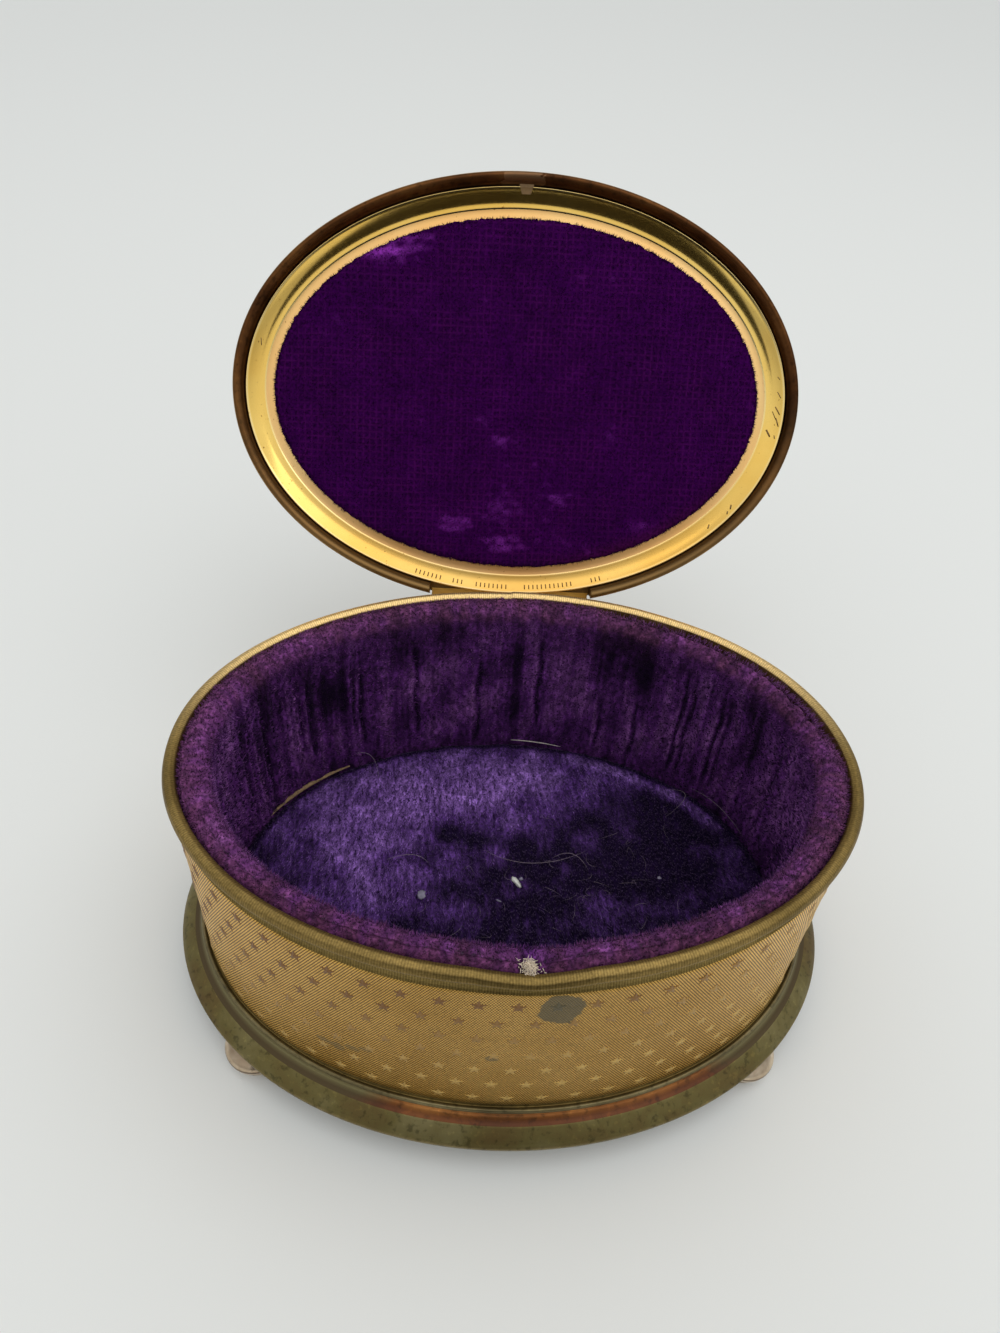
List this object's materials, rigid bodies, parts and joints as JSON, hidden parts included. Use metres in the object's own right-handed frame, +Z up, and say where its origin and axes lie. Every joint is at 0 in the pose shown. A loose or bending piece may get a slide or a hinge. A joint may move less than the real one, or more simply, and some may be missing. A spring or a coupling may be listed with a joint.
{
  "type": "oval metal trinket box",
  "caption": "Oval gilt metal trinket box on bun feet, with a star-patterned band, velvet lining and a hinged lid with a velvet panel.",
  "frame": {"origin": "middle of the open box's outline on the surface that its feet stand on", "axes": "+Z up, +Y from the front towards the hinge and the open lid, +X to the right seen from the front"},
  "size_m": [0.109, 0.1266, 0.1016],
  "materials": {
    "base_brass": "tarnished brass with green patina and a copper-red cove",
    "band_brass": "finely hatched old gilt with small stars",
    "lining_velvet": "purple velvet, worn pinkish along its rolled edge",
    "floor_velvet": "purple velvet with crushed pile",
    "foot_brass": "pale rubbed gilt",
    "hinge_brass": "plain gilt",
    "lid_brass": "brown tarnished brass",
    "liner_gilt": "bright gilt with fine scratches",
    "panel_velvet": "dark purple velvet with its weave showing"
  },
  "bodies": {
    "box": {"base": "base_brass", "body_band": "band_brass", "wall_lining": "lining_velvet", "floor_pad": "floor_velvet", "foot_front_left": "foot_brass", "foot_front_right": "foot_brass", "foot_back_left": "foot_brass", "foot_back_right": "foot_brass", "hinge_body_leaf": "hinge_brass", "hinge_pin": "hinge_brass"},
    "lid": {"hinge_lid_leaf": "hinge_brass", "lid_shell": "lid_brass", "lid_liner": "liner_gilt", "lid_panel": "panel_velvet"}
  },
  "joints": [
    {"name": "lid_hinge", "type": "hinge", "parent": "box", "child": "lid", "pos_m": [0, 0.01423, 0.0425], "axis": [1, 0, 0], "range_deg": [0, 122]}
  ]
}
